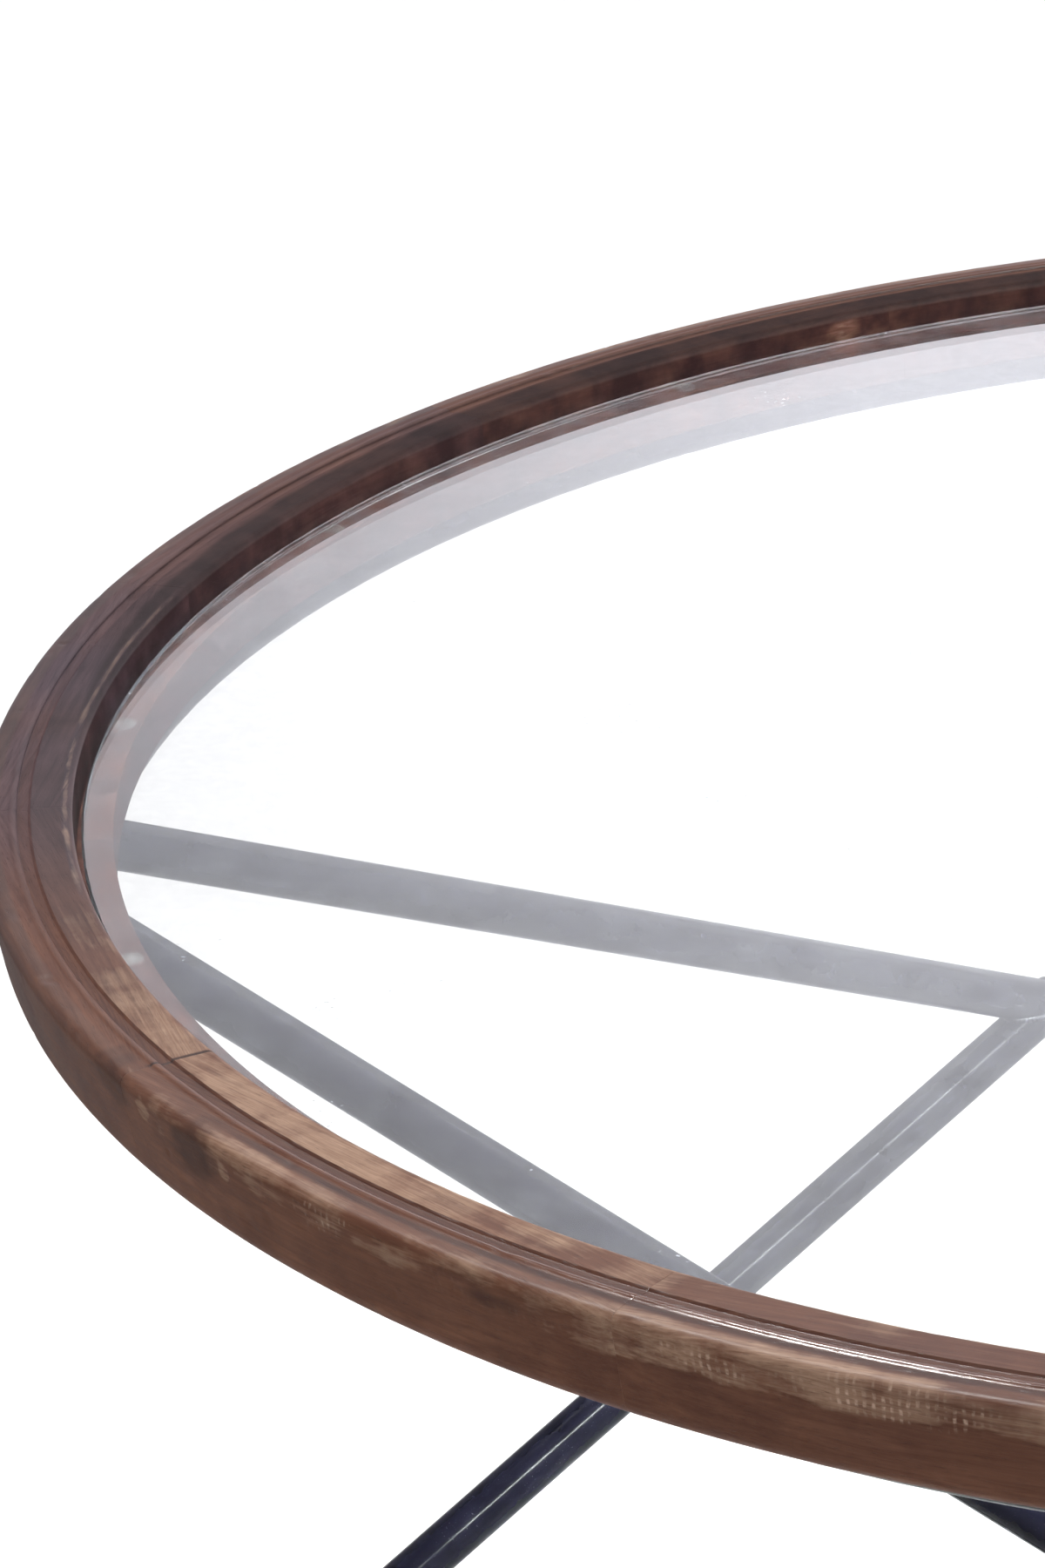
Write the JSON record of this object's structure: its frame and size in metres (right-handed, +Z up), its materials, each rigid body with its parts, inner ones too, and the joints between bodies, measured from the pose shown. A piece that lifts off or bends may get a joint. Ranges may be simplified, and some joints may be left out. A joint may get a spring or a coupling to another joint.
{
  "type": "round coffee table",
  "caption": "Round low table with a segmented reclaimed-wood rim, drop-in glass top and a tubular steel base of crossed legs under a support ring.",
  "frame": {"origin": "on the floor under the centre of the round top", "axes": "+Z up; one pair of leg tops and feet lies on the +Y side, the other two pairs 120 degrees either way"},
  "size_m": [1.0669, 1.0669, 0.425],
  "materials": {
    "rim_wood": "worn, waxed",
    "dowel_wood": "plain",
    "clear_bumper": "clear soft",
    "black_steel": "gloss black",
    "screw_steel": "black oxide",
    "foot_pad": "matt",
    "glass": "clear, polished edge"
  },
  "bodies": {
    "table": {"rim_segment_01": "rim_wood", "rim_segment_02": "rim_wood", "rim_segment_03": "rim_wood", "rim_segment_04": "rim_wood", "rim_segment_05": "rim_wood", "rim_segment_06": "rim_wood", "rim_segment_07": "rim_wood", "rim_segment_08": "rim_wood", "rim_segment_09": "rim_wood", "rim_segment_10": "rim_wood", "rim_segment_11": "rim_wood", "rim_segment_12": "rim_wood", "rim_segment_13": "rim_wood", "rim_segment_14": "rim_wood", "rim_segment_15": "rim_wood", "rim_dowels": "dowel_wood", "glass_bumpers": "clear_bumper", "support_ring": "black_steel", "rim_screws": "screw_steel", "leg_through_1": "black_steel", "leg_through_2": "black_steel", "leg_through_3": "black_steel", "leg_upper_half_1": "black_steel", "leg_upper_half_2": "black_steel", "leg_upper_half_3": "black_steel", "leg_lower_half_1": "black_steel", "leg_lower_half_2": "black_steel", "leg_lower_half_3": "black_steel", "foot_pad_1": "foot_pad", "foot_pad_2": "foot_pad", "foot_pad_3": "foot_pad", "foot_pad_4": "foot_pad", "foot_pad_5": "foot_pad", "foot_pad_6": "foot_pad"},
    "glass": {"glass_top": "glass"}
  },
  "joints": [
    {"name": "glass_lift", "type": "slide", "parent": "table", "child": "glass", "axis": [0, 0, 1], "range_m": [0, 0.06]}
  ]
}
